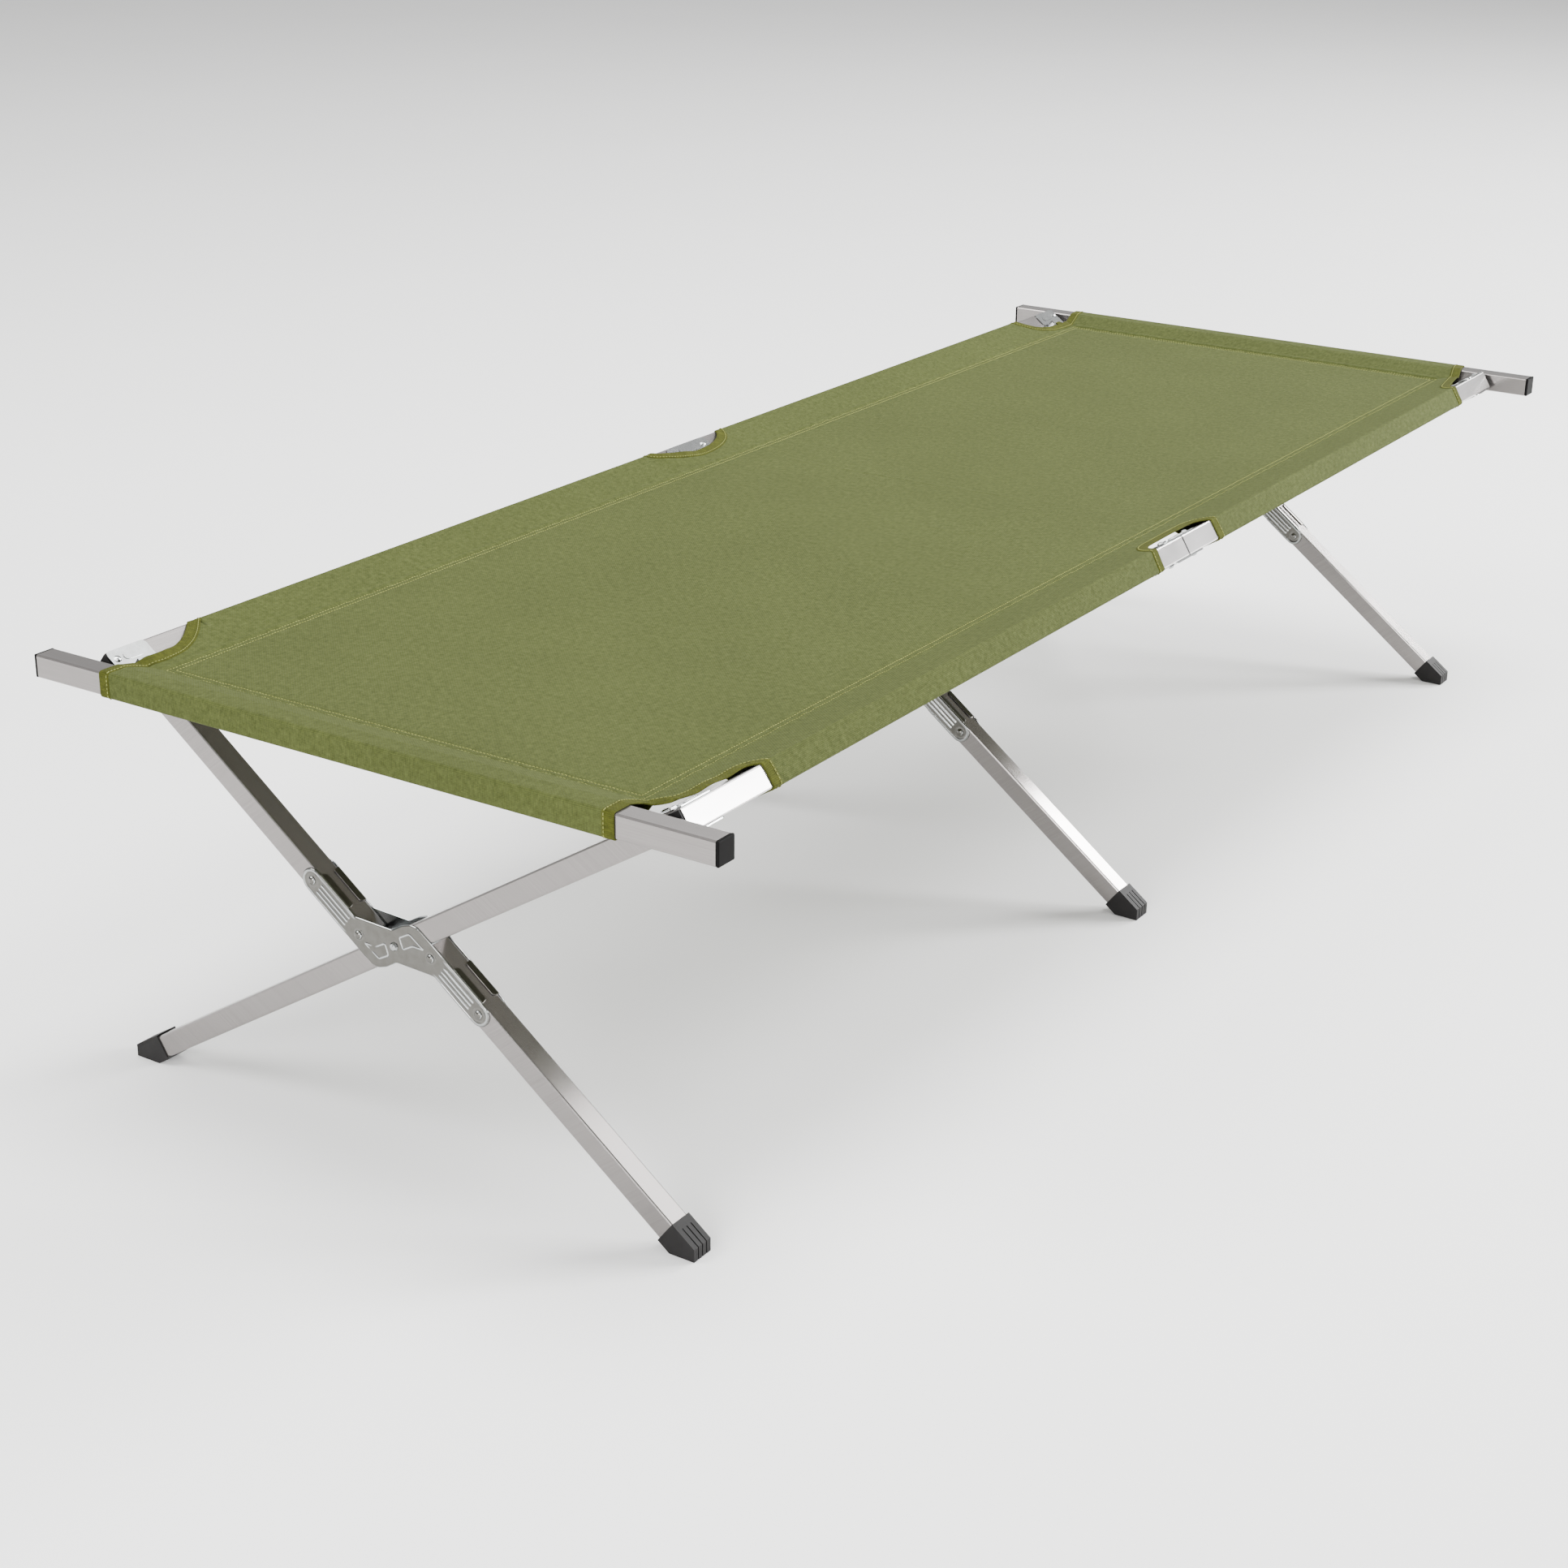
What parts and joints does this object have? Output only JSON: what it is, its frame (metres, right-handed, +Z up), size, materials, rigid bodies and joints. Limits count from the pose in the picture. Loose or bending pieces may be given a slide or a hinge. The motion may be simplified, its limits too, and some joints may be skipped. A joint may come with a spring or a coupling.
{
  "type": "folding camp bed",
  "caption": "Folding camp bed: canvas stretched between two jointed side rails and two loose end bars, on crossed scissor legs with level plastic feet.",
  "frame": {"origin": "on the ground, at the middle of the box round the open bed", "axes": "+X from the rail that hangs on the split legs to the rail that hangs on the long legs, +Y from the near end bar to the far end bar, +Z up"},
  "size_m": [0.853, 2.1032, 0.4782],
  "materials": {
    "aluminium_tube": "satin anodised",
    "zinc_plate": "bright zinc plated",
    "black_plastic": "fine moulded",
    "canvas": "tight plain weave, matt"
  },
  "bodies": {
    "right_frame": {"canvas": "canvas", "rail_right_near": "aluminium_tube", "rail_right_far": "aluminium_tube", "rail_sleeve_right_near": "canvas", "rail_sleeve_right_far": "canvas", "end_plates_right_near": "zinc_plate", "end_plates_right_far": "zinc_plate", "end_stud_right_near": "black_plastic", "end_stud_right_far": "black_plastic", "rail_strap_right_upper": "zinc_plate", "rail_strap_right_lower": "zinc_plate", "leg_bracket_right_near": "zinc_plate", "leg_bracket_right_mid": "zinc_plate", "leg_bracket_right_far": "zinc_plate", "long_leg_near": "aluminium_tube", "long_leg_mid": "aluminium_tube", "long_leg_far": "aluminium_tube", "foot_left_near": "black_plastic", "foot_left_mid": "black_plastic", "foot_left_far": "black_plastic"},
    "left_frame": {"rail_left_near": "aluminium_tube", "rail_left_far": "aluminium_tube", "rail_sleeve_left_near": "canvas", "rail_sleeve_left_far": "canvas", "end_plates_left_near": "zinc_plate", "end_plates_left_far": "zinc_plate", "end_stud_left_near": "black_plastic", "end_stud_left_far": "black_plastic", "rail_strap_left_upper": "zinc_plate", "rail_strap_left_lower": "zinc_plate", "leg_bracket_left_near": "zinc_plate", "leg_bracket_left_mid": "zinc_plate", "leg_bracket_left_far": "zinc_plate", "split_leg_upper_near": "aluminium_tube", "split_leg_upper_mid": "aluminium_tube", "split_leg_upper_far": "aluminium_tube", "split_leg_lower_near": "aluminium_tube", "split_leg_lower_mid": "aluminium_tube", "split_leg_lower_far": "aluminium_tube", "joint_plate_front_near": "zinc_plate", "joint_plate_front_mid": "zinc_plate", "joint_plate_front_far": "zinc_plate", "joint_plate_rear_near": "zinc_plate", "joint_plate_rear_mid": "zinc_plate", "joint_plate_rear_far": "zinc_plate", "scissor_axle_near": "zinc_plate", "scissor_axle_mid": "zinc_plate", "scissor_axle_far": "zinc_plate", "foot_right_near": "black_plastic", "foot_right_mid": "black_plastic", "foot_right_far": "black_plastic"},
    "near_bar": {"end_bar_near": "aluminium_tube", "bar_plug_near_left": "black_plastic", "bar_plug_near_right": "black_plastic"},
    "far_bar": {"end_bar_far": "aluminium_tube", "bar_plug_far_left": "black_plastic", "bar_plug_far_right": "black_plastic"}
  },
  "joints": [
    {"name": "frame_fold", "type": "hinge", "parent": "right_frame", "child": "left_frame", "pos_m": [0, 0, 0.236], "axis": [0, 1, 0], "range_deg": [0, 108], "deforming": ["canvas", "rail_sleeve_right_near", "rail_sleeve_right_far", "rail_sleeve_left_near", "rail_sleeve_left_far"]},
    {"name": "near_bar_draw", "type": "slide", "parent": "right_frame", "child": "near_bar", "axis": [0, -1, 0], "range_m": [0, 0.58]},
    {"name": "far_bar_draw", "type": "slide", "parent": "right_frame", "child": "far_bar", "axis": [0, 1, 0], "range_m": [0, 0.58]}
  ],
  "couplings": [
    {"joint": "near_bar_draw", "follows": "frame_fold", "m_per_rad": 0.3},
    {"joint": "far_bar_draw", "follows": "frame_fold", "m_per_rad": 0.3}
  ]
}
